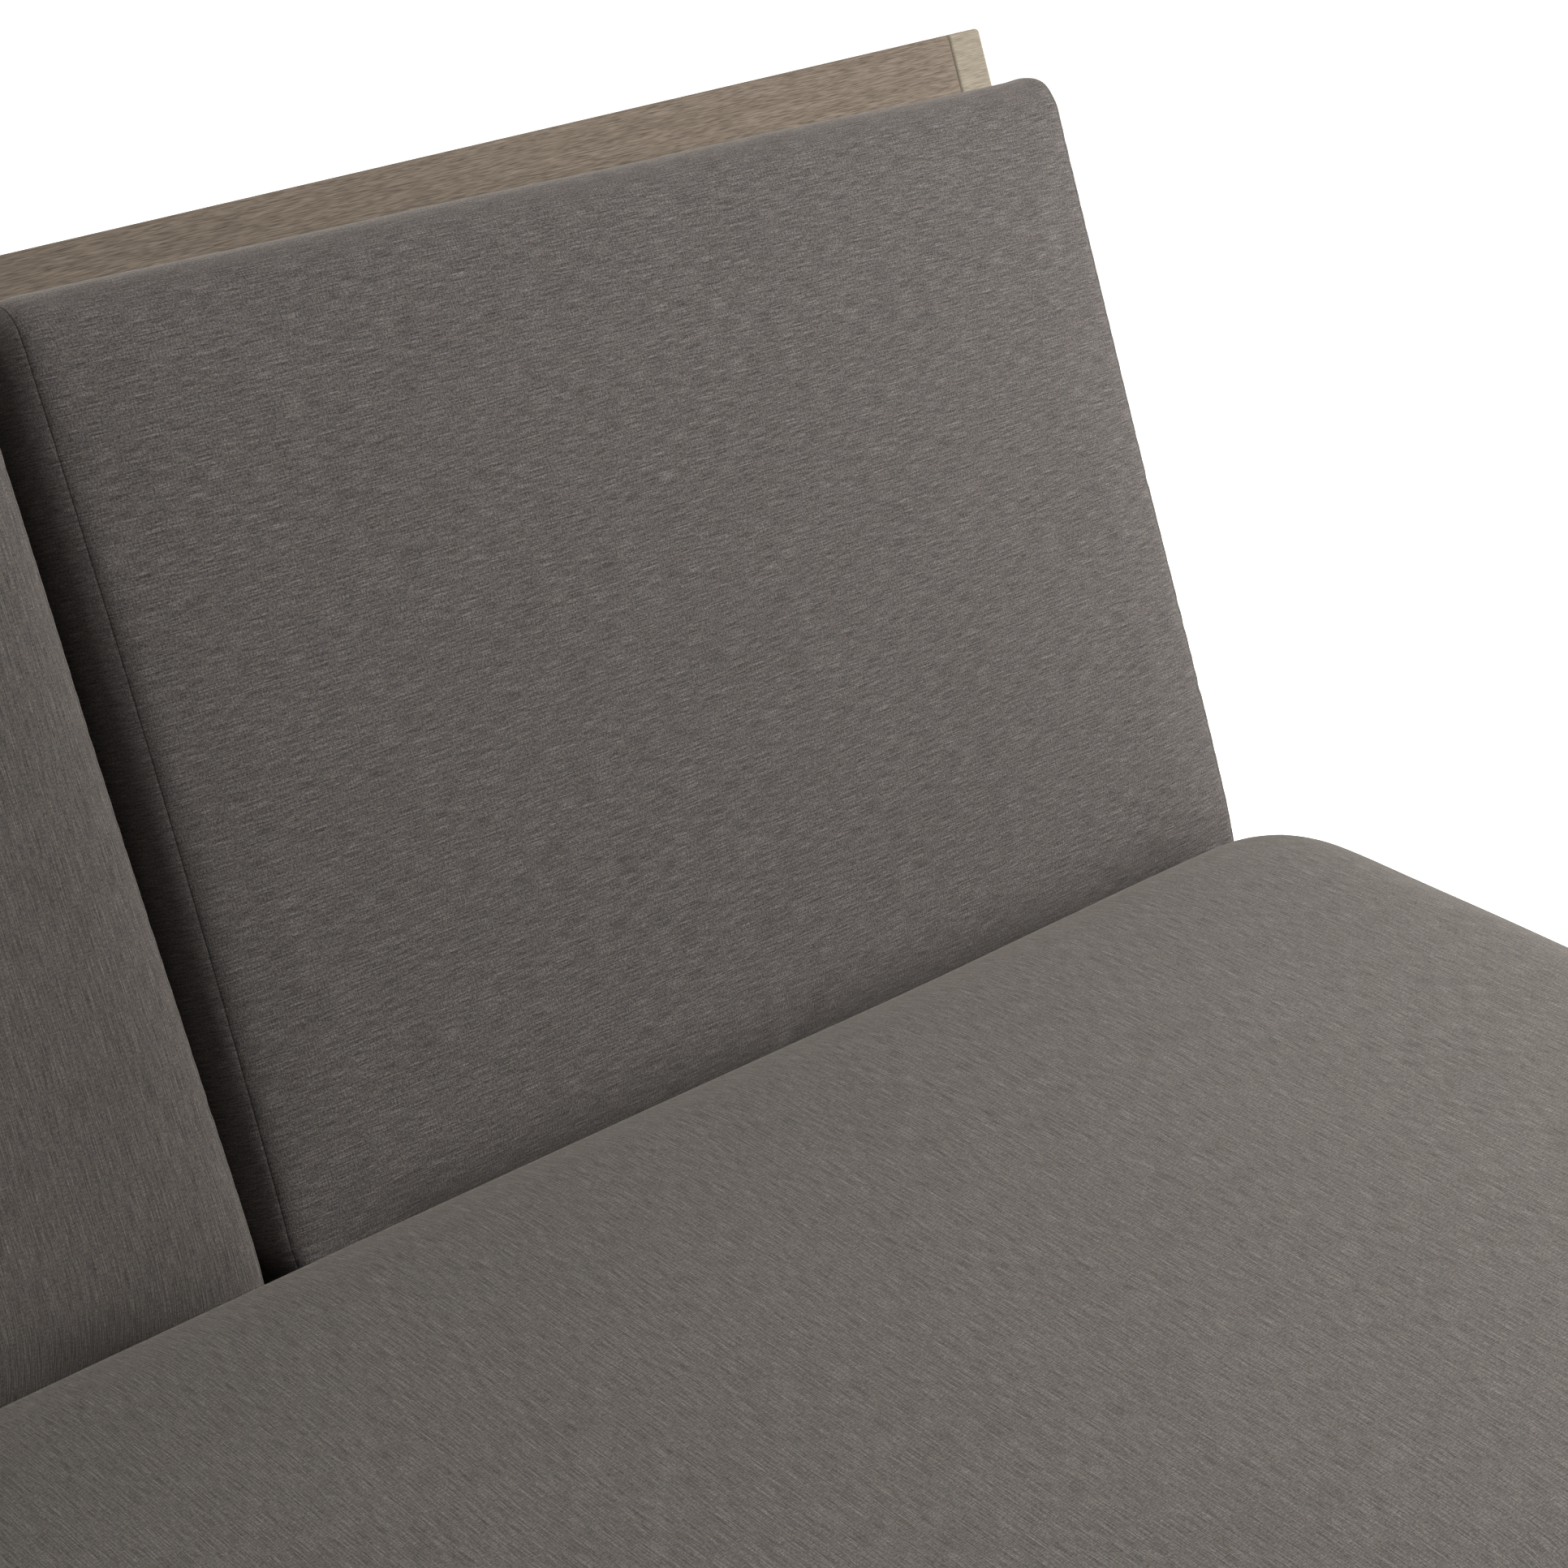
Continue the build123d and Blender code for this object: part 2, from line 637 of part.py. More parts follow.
for section, place in sections.items():
    ends = place["ends"]
    stiles = place["stiles"]
    outward = place["outward"]
    bays = list(zip(stiles[:-1], stiles[1:]))
    first_face = ends[0] + stile_width
    last_face = ends[1] - stile_width
    plate_room = plate_thickness + plate_gap
    bottom_first = first_face + (plate_room if outward < 0 else 0)
    bottom_last = last_face - (plate_room if outward > 0 else 0)

    for number, middle in enumerate(stiles):
        at_end = number in (0, len(stiles) - 1)
        low = back_start if at_end else back_start + bottom_rail_height
        high = back_height if at_end else back_height - top_rail_height
        with BuildPart() as stile:
            span = (middle - stile_width / 2, middle + stile_width / 2)
            back_board(span, (low, high), back_thickness, up_back)
            if at_end:
                fillet(faces().sort_by(up_back)[-1].edges(), stile_top_ease)
            for up in back_slat_places:
                reach = (span[0], span[0] + tenon_length + hole_clearance)
                if number > 0:
                    tenon_block(reach, up, back_slat_height, back_slat_thickness,
                                hole_clearance, Mode.SUBTRACT)
                reach = (span[1] - tenon_length - hole_clearance, span[1])
                if number < len(stiles) - 1:
                    tenon_block(reach, up, back_slat_height, back_slat_thickness,
                                hole_clearance, Mode.SUBTRACT)
            if at_end:
                inside = span[1] if number == 0 else span[0]
                step = -1 if number == 0 else 1
                deep = inside + step * (tenon_length + hole_clearance)
                reach = (min(inside, deep), max(inside, deep))
                tenon_block(reach, top_middle, top_rail_height, back_thickness,
                            hole_clearance, Mode.SUBTRACT)
                arm_holes(outward, ends, arm_bolt_length, inner_bolt_length)
        if not at_end:
            stile_name = "middle"
        elif (number == 0) == (outward < 0):
            stile_name = "outer"
        else:
            stile_name = "inner"
        write(stile, f"{section}_back_{stile_name}_stile")

    with BuildPart() as top_rail:
        back_board((first_face, last_face), (back_height - top_rail_height, back_height),
                   back_thickness, Axis.X)
        tenon_block((first_face - tenon_length, last_face + tenon_length), top_middle,
                    top_rail_height, back_thickness, 0, Mode.ADD)
    write(top_rail, f"{section}_back_top_rail")

    with BuildPart() as bottom_rail:
        back_board((bottom_first, bottom_last), (back_start, back_start + bottom_rail_height),
                   back_thickness, Axis.X)
        arm_holes(outward, ends, arm_bolt_length, inner_bolt_length)
    write(bottom_rail, f"{section}_back_bottom_rail")

    with BuildPart() as back_slats:
        for bay in bays:
            span = (bay[0] + stile_width / 2, bay[1] - stile_width / 2)
            for up in back_slat_places:
                with BuildSketch(back_plane.offset(back_front)):
                    with Locations(((span[0] + span[1]) / 2, up)):
                        Rectangle(span[1] - span[0], back_slat_height)
                extrude(amount=-back_slat_thickness)
        fillet(edges().filter_by(Axis.X), board_ease)
        for bay in bays:
            reach = (bay[0] + stile_width / 2 - tenon_length, bay[1] - stile_width / 2 + tenon_length)
            for up in back_slat_places:
                tenon_block(reach, up, back_slat_height, back_slat_thickness, 0, Mode.ADD)
    write(back_slats, f"{section}_back_slats")

    # Moving hinge arms: the outer one inside its stile, the inner one in the split
    outer_stile_face = outward * (half_length - stile_width)
    inner_end = ends[0] if outward > 0 else ends[1]
    arm_starts = (
        ("outer", outer_stile_face, -outward),
        ("inner", inner_end, -outward),
    )
    for arm_name, face, direction in arm_starts:
        with BuildPart() as hinge_arm:
            with BuildSketch(Plane.YZ.offset(face)):
                with Locations((pivot_y, pivot_z)):
                    Circle(boss_radius)
                with Locations(back_point(arm_low, back_mid), back_point(arm_high, back_mid)):
                    Circle(arm_end_radius)
                make_hull()
                with Locations((pivot_y, pivot_z)):
                    Circle(bush_radius, mode=Mode.SUBTRACT)
                if arm_name == "outer":
                    with Locations(polar(pawl_radius, pawl_angle)):
                        Circle(pawl_pin_radius, mode=Mode.SUBTRACT)
            extrude(amount=direction * plate_thickness)
            arm_holes(outward, ends, arm_bolt_length, inner_bolt_length)
        write(hinge_arm, f"{section}_back_{arm_name}_arm")

    with BuildPart() as pivot_bushes:
        for arm_name, face, direction in arm_starts:
            with BuildSketch(Plane.YZ.offset(face)):
                with Locations((pivot_y, pivot_z)):
                    Circle(bush_radius)
                    Circle(pivot_radius + running_clearance, mode=Mode.SUBTRACT)
            extrude(amount=direction * plate_thickness)
    write(pivot_bushes, f"{section}_pivot_bushes")

    with BuildPart() as arm_bolt_set:
        outer_end = ends[1] if outward > 0 else ends[0]
        for up in arm_bolts:
            y, z = back_point(up, back_mid)
            reach = arm_bolt_length if up == arm_bolts[0] else stile_width + plate_thickness
            bolt((outer_end, y, z), (-outward, 0, 0), reach)
            arm_face = inner_end - outward * plate_thickness
            bolt((arm_face, y, z), (outward, 0, 0), inner_bolt_length)
    write(arm_bolt_set, f"{section}_arm_bolts")

# Pawls, drawn lifted clear of the teeth, each on a pin in its outer arm
pawl_place = polar(pawl_radius, pawl_angle)
nose_root = tooth_radius + nose_root_radius + nose_clearance
nose_tip = tooth_radius - tooth_depth + nose_clearance
nose_spread = degrees(nose_width / 2 / tooth_radius)
nose_middle = turned(polar(nose_root, nose_angle), pawl_place, -pawl_lift)
nose_corners = [
    turned(polar(radius, nose_angle + spread), pawl_place, -pawl_lift)
    for radius, spread in (
        (nose_root, nose_spread),
        (nose_tip, nose_spread),
        (nose_tip, -nose_spread),
        (nose_root, -nose_spread),
    )
]
pawl_thickness = plate_thickness - 2 * pawl_side_gap
post = back_point(spring_post_up, -spring_post_in)
post_to_nose = (nose_middle[0] - post[0], nose_middle[1] - post[1])
leaf_offset = nose_root_radius + spring_gap + spring_thickness / 2
leaf_reach = hypot(*post_to_nose)
leaf_angle = degrees(atan2(post_to_nose[1], post_to_nose[0]) - asin(leaf_offset / leaf_reach))
leaf_length = (leaf_reach**2 - leaf_offset**2) ** 0.5 + leaf_overrun

for side, sign in SIDES:
    pawl_face = sign * (outer_plate_face + pawl_side_gap)
    arm_face = sign * (side_inner + plate_gap)
    with BuildPart() as pawl:
        with BuildSketch(Plane.YZ.offset(pawl_face)):
            with BuildSketch(mode=Mode.PRIVATE) as pawl_body:
                with Locations(pawl_place):
                    Circle(pawl_boss)
                with Locations(nose_middle):
                    Circle(nose_root_radius)
                make_hull()
            add(pawl_body.sketch)
            with BuildLine():
                Polyline(*nose_corners, close=True)
            make_face()
            with Locations(pawl_place):
                Circle(pawl_pin_radius + running_clearance, mode=Mode.SUBTRACT)
        extrude(amount=sign * pawl_thickness)
    write(pawl, f"{side}_pawl")

    with BuildPart() as pawl_pin:
        pin_length = 2 * plate_thickness + plate_gap
        rod((sign * outer_plate_face, *pawl_place), (sign, 0, 0), pawl_pin_radius, pin_length)
    write(pawl_pin, f"{side}_pawl_pin")

    with BuildPart() as pawl_spring:
        rod((arm_face, *post), (-sign, 0, 0), spring_post_radius, spring_width + pawl_side_gap)
        leaf_middle = turned((post[0] + leaf_length / 2, post[1]), post, leaf_angle)
        with BuildSketch(Plane.YZ.offset(arm_face - sign * pawl_side_gap)):
            with Locations(leaf_middle):
                Rectangle(leaf_length, spring_thickness, rotation=leaf_angle)
        extrude(amount=-sign * spring_width)
    write(pawl_spring, f"{side}_pawl_spring")


def cushion_solid(plane, width, depth, thickness, crown):
    """A crowned cushion lying on a plane, its sides drawn in between the corners."""
    with BuildSketch(plane) as outline:
        with BuildLine():
            a = (-width / 2, -depth / 2)
            b = (width / 2, -depth / 2)
            c = (width / 2, depth / 2)
            d = (-width / 2, depth / 2)
            ThreePointArc(a, (0, -depth / 2 + cushion_draw), b)
            ThreePointArc(b, (width / 2 - cushion_draw, 0), c)
            ThreePointArc(c, (0, depth / 2 - cushion_draw), d)
            ThreePointArc(d, (-width / 2 + cushion_draw, 0), a)
        make_face()
        fillet(vertices(), cushion_corner)
    extrude(outline.sketch, amount=thickness + crown)
    across = (
        (Plane(plane.origin, x_dir=plane.x_dir, z_dir=-plane.y_dir), width, depth),
        (Plane(plane.origin, x_dir=-plane.y_dir, z_dir=-plane.x_dir), depth, width),
    )
    for section_plane, breadth, length in across:
        with BuildSketch(section_plane) as profile:
            with BuildLine():
                Polyline(
                    (breadth / 2, thickness),
                    (breadth / 2, 0),
                    (-breadth / 2, 0),
                    (-breadth / 2, thickness),
                )
                ThreePointArc(
                    (-breadth / 2, thickness),
                    (0, thickness + crown),
                    (breadth / 2, thickness),
                )
            make_face()
            fillet(vertices().group_by(Axis.Y)[-1], cushion_edge)
            fillet(vertices().group_by(Axis.Y)[0], cushion_under_edge)
        extrude(profile.sketch, amount=length, both=True, mode=Mode.INTERSECT)


seat_middle = (0, front_y + seat_cushion_depth / 2, deck_height + cushion_seat_gap)
with BuildPart() as seat_cushion:
    cushion_solid(
        Plane(seat_middle, x_dir=(1, 0, 0), z_dir=(0, 0, 1)),
        2 * (half_length - seat_end_inset),
        seat_cushion_depth,
        seat_cushion_thickness,
        seat_cushion_crown,
    )
write(seat_cushion, "seat_cushion")

for section, place in sections.items():
    low, high = place["cushion"]
    middle_up = (back_cushion_start + back_cushion_top) / 2
    lying = back_plane.offset(back_front + cushion_seat_gap)
    with BuildPart() as back_cushion:
        cushion_solid(
            Plane(
                lying.from_local_coords(((low + high) / 2, middle_up, 0)),
                x_dir=lying.x_dir,
                z_dir=lying.z_dir,
            ),
            high - low,
            back_cushion_top - back_cushion_start,
            back_cushion_thickness - cushion_seat_gap,
            back_cushion_crown,
        )
    write(back_cushion, f"{section}_back_cushion")
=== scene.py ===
# %% [markdown]
# A futon sofa bed in a pale studio. The hardwood frame, hinges and fittings come from
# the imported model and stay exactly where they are. The three cushions are soft, so they are
# made here: grown as boxes, rounded, filled by a cloth simulation, and then sewn.
# Everything is in metres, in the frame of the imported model.

# %% Load the frame
import math

import bmesh
import bpy
import numpy as np
from mathutils import Matrix, Vector, kdtree, noise


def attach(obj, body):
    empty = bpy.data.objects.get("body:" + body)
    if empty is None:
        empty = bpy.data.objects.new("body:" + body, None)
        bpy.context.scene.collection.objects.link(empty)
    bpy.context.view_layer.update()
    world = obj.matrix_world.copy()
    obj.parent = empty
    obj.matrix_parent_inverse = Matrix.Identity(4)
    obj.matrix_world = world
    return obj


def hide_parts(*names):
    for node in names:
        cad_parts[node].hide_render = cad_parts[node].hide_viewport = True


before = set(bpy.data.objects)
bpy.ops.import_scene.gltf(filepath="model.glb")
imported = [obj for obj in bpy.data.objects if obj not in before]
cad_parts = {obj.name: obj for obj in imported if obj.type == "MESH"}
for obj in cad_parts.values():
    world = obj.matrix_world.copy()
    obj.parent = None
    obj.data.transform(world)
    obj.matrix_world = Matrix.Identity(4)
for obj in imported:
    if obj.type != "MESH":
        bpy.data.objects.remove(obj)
scene = bpy.context.scene
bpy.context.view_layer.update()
MM = 0.001
print("nodes loaded:", len(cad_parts))

# %% [markdown]
# The picture was taken from the left of the short back section, looking down at its face.
# A camera could be aimed at an empty, but the angles are known, so the turn is built from
# them: yaw to the right of straight ahead, pitch below the horizon, and a little roll.

# %% Camera
IMAGE_SIDE = 1932
FOCAL_PIXELS = 4163.56
CAMERA_PLACE = (-0.3960, -0.9776, 1.2765)
yaw, pitch, tilt = (math.radians(degrees) for degrees in (41.34, 26.38, -0.39))
forward = Vector((math.sin(yaw) * math.cos(pitch), math.cos(yaw) * math.cos(pitch), -math.sin(pitch)))
level_right = Vector((math.cos(yaw), -math.sin(yaw), 0.0))
level_up = level_right.cross(forward)
right = level_right * math.cos(tilt) + level_up * math.sin(tilt)
upward = level_up * math.cos(tilt) - level_right * math.sin(tilt)
camera_turn = Matrix((right, upward, -forward)).transposed().to_4x4()
camera_data = bpy.data.cameras.new("studio_camera")
camera_data.sensor_width = 36.0
camera_data.lens = camera_data.sensor_width * FOCAL_PIXELS / IMAGE_SIDE
camera = bpy.data.objects.new("studio_camera", camera_data)
scene.collection.objects.link(camera)
camera.matrix_world = Matrix.Translation(CAMERA_PLACE) @ camera_turn
scene.camera = camera
scene.view_settings.view_transform = "Standard"
print("lens, mm:", round(camera_data.lens, 2))

# %% [markdown]
# Three helpers serve every finish. One turns an sRGB hex colour to the linear values that
# shaders use. One adds a node with its settings and links, and the stops of its colour ramp
# where it has one, so that each finish below reads as a short recipe. The last one makes an
# empty material to put the nodes in.

# %% Helpers for finishes
def linear(hex_colour):
    parts = [int(hex_colour[i:i + 2], 16) / 255 for i in (1, 3, 5)]
    return tuple(p / 12.92 if p <= 0.04045 else ((p + 0.055) / 1.055) ** 2.4 for p in parts) + (1.0,)


def put(tree, kind, inputs=None, stops=(), **settings):
    node = tree.nodes.new(kind)
    for name, value in settings.items():
        setattr(node, name, value)
    for key, value in (inputs or {}).items():
        if isinstance(value, bpy.types.NodeSocket):
            tree.links.new(value, node.inputs[key])
        else:
            node.inputs[key].default_value = value
    if stops:
        elements = node.color_ramp.elements
        for _ in stops[len(elements):]:
            elements.new(0.5)
        for element, (place, colour) in zip(elements, stops):
            element.position = place
            element.color = linear(colour)
    return node


def new_finish(name):
    finish = bpy.data.materials.new(name)
    finish.use_nodes = True
    finish.node_tree.nodes.clear()
    print("finish:", name)
    return finish, finish.node_tree


# %% [markdown]
# The studio is a pale paper floor under soft light. Rays from the camera see it lifted to
# white, as on a sheet of lit paper, and it still darkens where the sofa shades it; away from
# the sofa it goes to plain white. Rays off a shiny fitting count as seeing it too. More light
# would also whiten the floor, but it would bleach the sofa.

# %% Floor
FLOOR_HALF = 9.0
SHADES_WITHIN, WHITE_BEYOND = 1.3, 2.4
LIFT_NEAR, LIFT_FAR = 0.67, 1.0


def seen_directly(tree):
    path = put(tree, "ShaderNodeLightPath")
    seen = path.outputs["Is Camera Ray"]
    for ray in ("Is Glossy Ray", "Is Transmission Ray"):
        seen = put(tree, "ShaderNodeMath", {0: seen, 1: path.outputs[ray]}, operation="MAXIMUM").outputs[0]
    return seen


paper, tree = new_finish("studio_paper")
spot = put(tree, "ShaderNodeTexCoord").outputs["Object"]
away = put(tree, "ShaderNodeVectorMath", {0: spot}, operation="LENGTH").outputs["Value"]
whiteness = put(tree, "ShaderNodeMapRange", {
    0: away, 1: SHADES_WITHIN, 2: WHITE_BEYOND, 3: LIFT_NEAR, 4: LIFT_FAR})
lift = put(tree, "ShaderNodeMath", {0: seen_directly(tree), 1: whiteness.outputs[0]}, operation="MULTIPLY")
sheet = put(tree, "ShaderNodeBsdfPrincipled", {
    "Base Color": linear("#f0efed"), "Roughness": 0.9,
    "Emission Color": linear("#ffffff"), "Emission Strength": lift.outputs[0]})
put(tree, "ShaderNodeOutputMaterial", {0: sheet.outputs[0]})
bm = bmesh.new()
bmesh.ops.create_grid(bm, x_segments=1, y_segments=1, size=FLOOR_HALF)
floor_mesh = bpy.data.meshes.new("studio_floor")
bm.to_mesh(floor_mesh)
bm.free()
floor = bpy.data.objects.new("studio_floor", floor_mesh)
floor_mesh.materials.append(paper)
scene.collection.objects.link(floor)

# %% [markdown]
# The world does two jobs. It gives a dim even fill, so that the creases between the cushions
# go dark, and what is seen past the floor's edge is plain white. A backdrop could do the
# second job, but it would stand in the way of the views from behind.

# %% World
FILL_STRENGTH = 0.10
world = bpy.data.worlds.new("studio_world")
world.use_nodes = True
scene.world = world
tree = world.node_tree
tree.nodes.clear()
fill_light = put(tree, "ShaderNodeBackground", {0: linear("#fffdfa"), 1: FILL_STRENGTH})
white_wall = put(tree, "ShaderNodeBackground", {0: linear("#ffffff"), 1: 1.0})
wall = put(tree, "ShaderNodeMixShader", {
    0: seen_directly(tree), 1: fill_light.outputs[0], 2: white_wall.outputs[0]})
put(tree, "ShaderNodeOutputWorld", {0: wall.outputs[0]})
print("even fill from the world:", FILL_STRENGTH)

# %% [markdown]
# The light falls off from right to left across the cushions, so the main lamp is a large
# soft panel near the right end, above the seat and a little in front. A weak panel over the
# back lights the top edges of the rails. Three more open up the front, the left end and the
# rear. Area lamps are used because their size sets how soft the shadows are.

# %% Lamps
def panel_lamp(name, place, target, size, watts, colour="#ffffff"):
    lamp_data = bpy.data.lights.new(name, "AREA")
    lamp_data.shape = "RECTANGLE"
    lamp_data.size, lamp_data.size_y = size
    lamp_data.energy = watts
    lamp_data.color = linear(colour)[:3]
    lamp = bpy.data.objects.new(name, lamp_data)
    lamp.location = place
    lamp.rotation_euler = (Vector(target) - Vector(place)).to_track_quat("-Z", "Y").to_euler()
    lamp.visible_camera = False
    scene.collection.objects.link(lamp)
    print(name, watts, "W")


panel_lamp("right_panel", (1.95, -0.70, 1.55), (0.65, 0.05, 0.45), (1.1, 0.9), 60)
panel_lamp("rear_panel", (0.3, 1.7, 2.3), (0.5, 0.2, 0.6), (1.6, 0.8), 14, "#fff6ee")
panel_lamp("front_panel", (1.6, -1.4, 2.9), (0.7, 0.0, 0.45), (1.6, 1.2), 16.5)
panel_lamp("left_panel", (-2.7, -0.3, 0.8), (-0.9, 0.0, 0.4), (1.5, 0.9), 28)
panel_lamp("back_panel", (-0.3, 2.2, 1.2), (0.0, 0.3, 0.4), (2.6, 0.9), 34)

# %% [markdown]
# The cover is a heathered polyester linen: a plain weave of slub yarns, dyed before they
# were spun, so pale, dark and brownish fibres lie side by side. It could be painted as an
# image, but a procedural weave keeps its real size on every panel. The pattern follows the
# cloth itself: each panel carries a UV map in metres, with U along the slubs.

# %% Threads of the cover
YARN = 0.55 * MM
SLUB_LENGTH = 12 * MM
FUZZ = 0.85 * MM

# Each thread pattern: the length and width of its marks, then the noise's detail and roughness.
THREADS = {
    "weft": (SLUB_LENGTH, YARN, 1.0, 0.5),
    "warp": (YARN, 4 * MM, 2.0, 0.6),
    "slub": (2 * SLUB_LENGTH, 0.7 * MM, 1.0, 0.5),
    "cloud": (90 * MM, 40 * MM, 2.0, 0.5),
    "fibre": (3 * MM, YARN, 0.0, 0.5),
    "fuzz": (FUZZ, FUZZ, 0.0, 0.5),
}
print("thread patterns:", ", ".join(THREADS))

# %% [markdown]
# The weft gives the base colour, from the dark yarns to the pale ones. The other threads only
# lighten or darken it, each by its own share, and a few fibres turn brown. Along the seams the
# cloth colour is darkened with painted shade, for the shadow in the stitched channel, by an
# attribute that the sewing below writes. Matt yarn scatters light at grazing angles, so the
# shader is rough and has a little warm sheen.

# %% Woven cover
WEFT_STOPS = (0.22, 0.5, 0.80)
WARP_SHARE, SLUB_SHARE, CLOUD_SHARE, BROWN_SHARE = 0.45, 0.36, 0.08, 0.15


def woven_cover(name, yarns, slubbiness, fuzziness):
    finish, tree = new_finish(name)
    cloth = put(tree, "ShaderNodeTexCoord").outputs["UV"]
    thread = {}
    for kind, (along, across, detail, roughness) in THREADS.items():
        laid = put(tree, "ShaderNodeMapping", {"Vector": cloth, "Scale": (1 / along, 1 / across, 1.0)})
        thread[kind] = put(tree, "ShaderNodeTexNoise", {
            "Vector": laid.outputs[0], "Scale": 1.0, "Detail": detail, "Roughness": roughness},
            noise_dimensions="2D").outputs[0]
    base = put(tree, "ShaderNodeValToRGB", {0: thread["weft"]}, stops=tuple(zip(WEFT_STOPS, yarns)))
    colour = base.outputs[0]
    for kind, share, dark, pale in (
        ("warp", WARP_SHARE, "#3c3c3c", "#c4c4c4"),
        ("slub", SLUB_SHARE * slubbiness, "#3a3a3a", "#c8c8c8"),
        ("fuzz", fuzziness, "#3c3c3c", "#c6c6c6"),
        ("cloud", CLOUD_SHARE, "#5a5a5a", "#a8a8a8"),
    ):
        shade = put(tree, "ShaderNodeValToRGB", {0: thread[kind]}, stops=((0.3, dark), (0.7, pale)))
        colour = put(tree, "ShaderNodeMix", {0: share, 6: colour, 7: shade.outputs[0]},
                     data_type="RGBA", blend_type="SOFT_LIGHT").outputs[2]
    strands = put(tree, "ShaderNodeValToRGB", {0: thread["fibre"]},
                  stops=((0.60, "#000000"), (0.72, "#ffffff")))
    browned = put(tree, "ShaderNodeMath", {0: strands.outputs[0], 1: BROWN_SHARE}, operation="MULTIPLY")
    colour = put(tree, "ShaderNodeMix", {0: browned.outputs[0], 6: colour, 7: linear("#86735f")},
                 data_type="RGBA", blend_type="MIX").outputs[2]
    # Painted shade: the seam attribute darkens the cloth colour where the stitched channel holds shadow.
    seam = put(tree, "ShaderNodeAttribute", attribute_name="seam_painted_shade")
    colour = put(tree, "ShaderNodeMix", {0: seam.outputs["Fac"], 6: colour, 7: linear("#5c5753")},
                 data_type="RGBA", blend_type="MULTIPLY").outputs[2]
    relief = put(tree, "ShaderNodeMath", {0: thread["weft"], 1: thread["warp"]}, operation="ADD")
    bump = put(tree, "ShaderNodeBump", {
        "Strength": 0.32, "Distance": 0.5 * MM, "Height": relief.outputs[0]})
    linen = put(tree, "ShaderNodeBsdfPrincipled", {
        "Base Color": colour, "Roughness": 0.92, "Specular IOR Level": 0.25,
        "Sheen Weight": 0.12, "Sheen Tint": linear("#f0e2d4"), "Sheen Roughness": 0.45,
        "Normal": bump.outputs[0]})
    put(tree, "ShaderNodeOutputMaterial", {0: linen.outputs[0]})
    return finish


short_back_cover = woven_cover("slub_linen_short_back", ("#555150", "#686361", "#7f7a77"), 1.0, 0.6)
long_back_cover = woven_cover("slub_linen_long_back", ("#565150", "#645f5b", "#736d69"), 1.1, 0.38)
seat_cover = woven_cover("slub_linen_seat", ("#5d5956", "#6f6b67", "#827d79"), 0.9, 0.4)

# %% [markdown]
# A cushion starts as a cube cut into a fine grid, all with operators. Its panels are laid on
# the cloth while they are still flat: the face by its own place, and each side folded out
# from the face's edge, so that the weave runs over the edge as on a wrapped cover.

# %% Cutting the block and laying the cloth
def cut_along(bm, axis, cuts):
    edges = [e for e in bm.edges
             if abs((e.verts[1].co - e.verts[0].co)[axis]) > 0.5 * e.calc_length()]
    bmesh.ops.subdivide_edges(bm, edges=edges, cuts=cuts, use_grid_fill=True)


def facing(face):
    return max(range(3), key=lambda k: abs(face.normal[k]))


def lay_cloth(bm, top, weft_axis):
    cloth = bm.loops.layers.uv.new("cloth")
    for face in bm.faces:
        turn = facing(face)
        side = math.copysign(1.0, face.normal[turn])
        for loop in face.loops:
            spot = [loop.vert.co[0], loop.vert.co[1]]
            if turn < 2:
                spot[turn] += side * (top - loop.vert.co[2])
            loop[cloth].uv = spot if weft_axis == 0 else spot[::-1]


# %% [markdown]
# The box is then softened: rounded in its section like the foam block inside, and rolled over
# at its ends, where the sewn edge runs. A bevel would give one radius to a whole edge. Here
# the radius changes along the edge, so each point of the grid is pushed in by a short rule.

# %% Softening the block
CORNER_REACH = 110 * MM


def ease(value, start, end):
    share = np.clip((value - start) / (end - start), 0.0, 1.0)
    return share * share * (3 - 2 * share)


def soften(points, low, high, axis, corners, rolls):
    # corners: radius at the front or foot, at the rear or top, and at the front near the ends.
    # rolls: for each end, the radius at the front or foot and at the rear or top.
    front_corner, rear_corner, end_corner = corners
    b, c = [k for k in range(3) if k != axis]
    middle, half = (low + high) / 2, (high - low) / 2
    p = points - middle
    rear = ease(p[:, 1], -half[1], half[1])
    inward = ease(half[axis] - abs(p[:, axis]), 0.0, CORNER_REACH)
    low_corner = end_corner + (front_corner - end_corner) * inward
    corner = low_corner + (rear_corner - low_corner) * rear
    depth = np.minimum(half[b] - abs(p[:, b]), half[c] - abs(p[:, c]))
    new_depth = depth.copy()
    for side, (front_roll, rear_roll) in zip((-1, 1), rolls):
        roll = front_roll + (rear_roll - front_roll) * rear
        across = roll - depth
        along = side * p[:, axis] - (half[axis] - roll)
        near = (across > 0) & (along > 0)
        shrink = roll[near] / np.hypot(across[near], along[near])
        new_depth[near] = roll[near] - across[near] * shrink
        p[near, axis] = side * (half[axis] - roll[near] + along[near] * shrink)
    section = p[:, (b, c)]
    limit = half[[b, c]] - corner[:, None]
    inner = np.clip(section, -limit, limit)
    spoke = section - inner
    length = np.hypot(spoke[:, 0], spoke[:, 1])
    ring = (depth < corner) & (length > 1e-9)
    section[ring] = inner[ring] + spoke[ring] * ((corner - new_depth)[ring] / length[ring])[:, None]
    p[:, (b, c)] = section
    return p + middle


# %% [markdown]
# One function makes a whole block: cube, cuts, cloth, marks where the seams will run, and the
# softened shape. The seam is marked as a number on its points, because points keep their
# numbers through the subdivision that comes later.

# %% Making a block
SAME_PLACE = 1e-6


